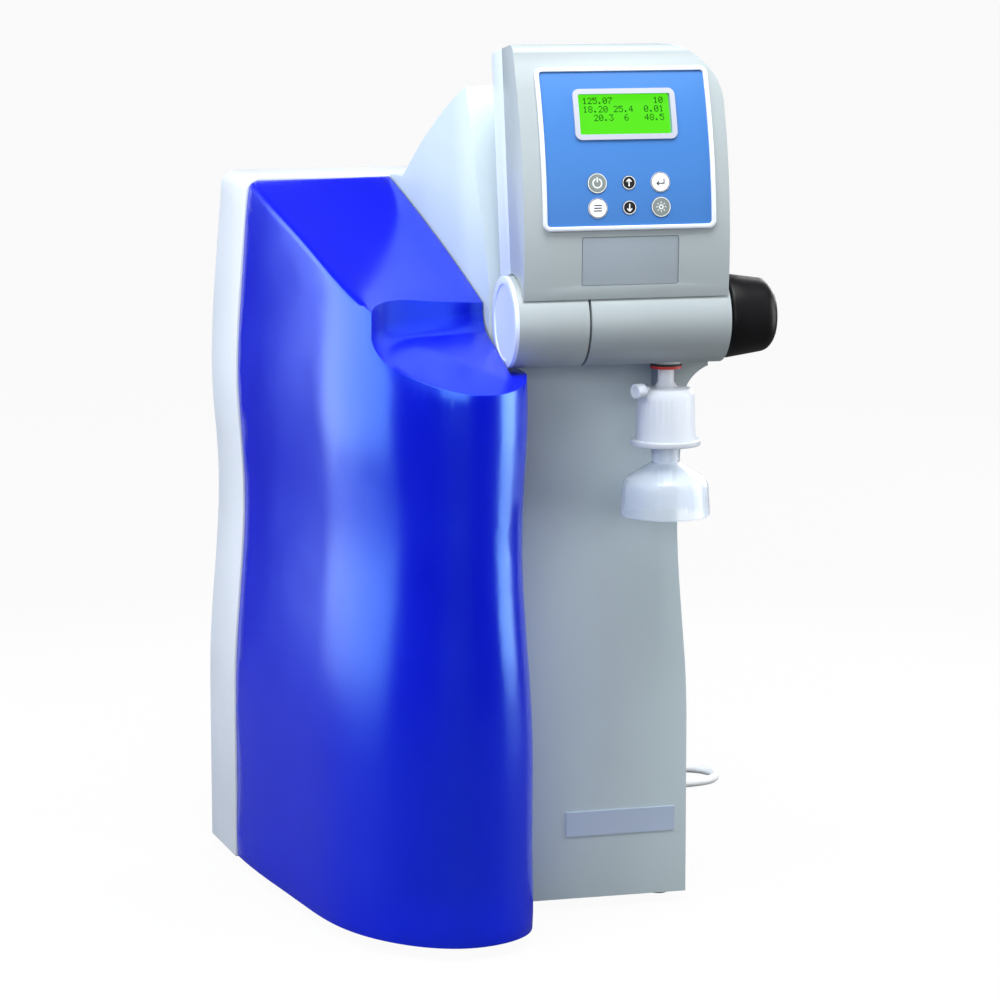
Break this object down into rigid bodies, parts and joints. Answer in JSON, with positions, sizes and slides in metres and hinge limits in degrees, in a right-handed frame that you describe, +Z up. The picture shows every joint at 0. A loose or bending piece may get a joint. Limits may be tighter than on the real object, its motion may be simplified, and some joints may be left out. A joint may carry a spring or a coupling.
{
  "type": "laboratory ultrapure water system",
  "caption": "Bench-top ultrapure water unit with a blue swing-open cartridge cover, tilting display head, dispensing knob, capsule filter and filling bell.",
  "frame": {"origin": "centre of the footprint on the bench, without the loose tube", "axes": "+X to the right seen from the front, +Y to the back, +Z up"},
  "size_m": [0.3904, 0.484, 0.5479],
  "materials": {
    "cover_blue": "translucent deep blue, glossy",
    "tower_grey": "cool light grey, satin",
    "housing_white": "white, satin",
    "floor_grey": "grey, matt",
    "foot_rubber": "black rubber",
    "seal_red": "red rubber",
    "plate_silver": "brushed silver foil",
    "panel_metal": "light grey paint",
    "barrel_grey": "silver grey, satin",
    "cap_white": "pale lavender, satin",
    "bezel_white": "white, glossy",
    "overlay_blue": "mid blue printed film",
    "screen_green": "lit green display",
    "key_white": "white",
    "key_grey": "grey",
    "key_black": "black",
    "knob_black": "black, satin",
    "capsule_frosted": "frosted translucent",
    "bell_clear": "clear",
    "filter_white": "white",
    "tank_white": "milky white",
    "cartridge_white": "white, glossy",
    "fitting_grey": "grey",
    "inlet_black": "black",
    "steel": "stainless",
    "motor_paint": "dark paint",
    "pipe_white": "natural white",
    "board_green": "green laminate",
    "tube_white": "natural white, soft"
  },
  "bodies": {
    "cabinet": {"base_plate": "floor_grey", "rubber_feet": "foot_rubber", "tower_shell": "tower_grey", "name_plate": "plate_silver", "rear_housing": "housing_white", "rear_panel": "panel_metal", "rear_fittings": "fitting_grey", "power_inlet": "inlet_black", "panel_screws": "steel", "bay_bulkhead": "floor_grey", "hinge_posts": "housing_white", "valve_barrel": "barrel_grey", "hinge_spindle": "steel", "valve_body": "fitting_grey", "outlet_washer": "foot_rubber", "outlet_seal": "seal_red", "capsule_shell": "capsule_frosted", "capsule_element": "filter_white", "capsule_base": "capsule_frosted", "filling_bell": "bell_clear", "feed_tank": "tank_white", "tank_lid": "tank_white", "float_stem": "steel", "vent_filter": "filter_white", "pump_motor": "motor_paint", "pump_head": "fitting_grey", "suction_pipe": "pipe_white", "polishing_cartridge": "cartridge_white", "softening_cartridge": "cartridge_white", "cartridge_manifold": "fitting_grey", "ultrafilter": "filter_white", "lamp_reactor": "steel", "control_board": "board_green", "feed_pipe": "pipe_white", "supply_tube": "tube_white", "tube_coil": "tube_white"},
    "cover": {"cover_shell": "cover_blue", "hinge_arms": "cover_blue", "cover_catch": "cover_blue"},
    "display_head": {"display_front_shell": "barrel_grey", "display_rear_shell": "barrel_grey", "head_barrel": "barrel_grey", "barrel_end_cap": "cap_white", "display_bezel": "bezel_white", "keypad_overlay": "overlay_blue", "lcd_frame": "bezel_white", "lcd_screen": "screen_green", "display_board": "board_green", "blank_plate": "plate_silver"},
    "dispensing_knob": {"flow_knob": "knob_black", "valve_stem": "steel"},
    "valve_plug": {"valve_plug": "fitting_grey"},
    "capsule_vent": {"vent_plug": "capsule_frosted"},
    "tank_float": {"level_float": "fitting_grey"},
    "power_key": {"power_key": "key_grey"},
    "up_key": {"up_key": "key_black"},
    "enter_key": {"enter_key": "key_white"},
    "menu_key": {"menu_key": "key_white"},
    "down_key": {"down_key": "key_black"},
    "lamp_key": {"lamp_key": "key_grey"}
  },
  "joints": [
    {"name": "cover_swing", "type": "hinge", "parent": "cabinet", "child": "cover", "pos_m": [-0.135, 0.12, 0.2], "axis": [0, 0, -1], "range_deg": [0, 92]},
    {"name": "head_tilt", "type": "hinge", "parent": "cabinet", "child": "display_head", "pos_m": [0, -0.104, 0.3815], "axis": [1, 0, 0], "range_deg": [-8, 35]},
    {"name": "knob_turn", "type": "hinge", "parent": "cabinet", "child": "dispensing_knob", "pos_m": [0.13, -0.104, 0.3815], "axis": [1, 0, 0], "range_deg": [0, 270]},
    {"name": "plug_slide", "type": "slide", "parent": "cabinet", "child": "valve_plug", "axis": [1, 0, 0], "range_m": [0, 0.0031]},
    {"name": "vent_turn", "type": "hinge", "parent": "cabinet", "child": "capsule_vent", "pos_m": [0.06607, -0.1133, 0.3378], "axis": [-0.9063, -0.4226, 0], "range_deg": [0, 90]},
    {"name": "float_rise", "type": "slide", "parent": "cabinet", "child": "tank_float", "axis": [0, 0, 1], "range_m": [0, 0.26]},
    {"name": "power_key_press", "type": "slide", "parent": "display_head", "child": "power_key", "axis": [0, 0.9877, -0.1564], "range_m": [0, 0.0005], "stiffness_N_per_m": 400},
    {"name": "up_key_press", "type": "slide", "parent": "display_head", "child": "up_key", "axis": [0, 0.9877, -0.1564], "range_m": [0, 0.0005], "stiffness_N_per_m": 400},
    {"name": "enter_key_press", "type": "slide", "parent": "display_head", "child": "enter_key", "axis": [0, 0.9877, -0.1564], "range_m": [0, 0.0005], "stiffness_N_per_m": 400},
    {"name": "menu_key_press", "type": "slide", "parent": "display_head", "child": "menu_key", "axis": [0, 0.9877, -0.1564], "range_m": [0, 0.0005], "stiffness_N_per_m": 400},
    {"name": "down_key_press", "type": "slide", "parent": "display_head", "child": "down_key", "axis": [0, 0.9877, -0.1564], "range_m": [0, 0.0005], "stiffness_N_per_m": 400},
    {"name": "lamp_key_press", "type": "slide", "parent": "display_head", "child": "lamp_key", "axis": [0, 0.9877, -0.1564], "range_m": [0, 0.0005], "stiffness_N_per_m": 400}
  ],
  "couplings": [
    {"joint": "plug_slide", "follows": "knob_turn", "m_per_rad": 0.00063662}
  ]
}
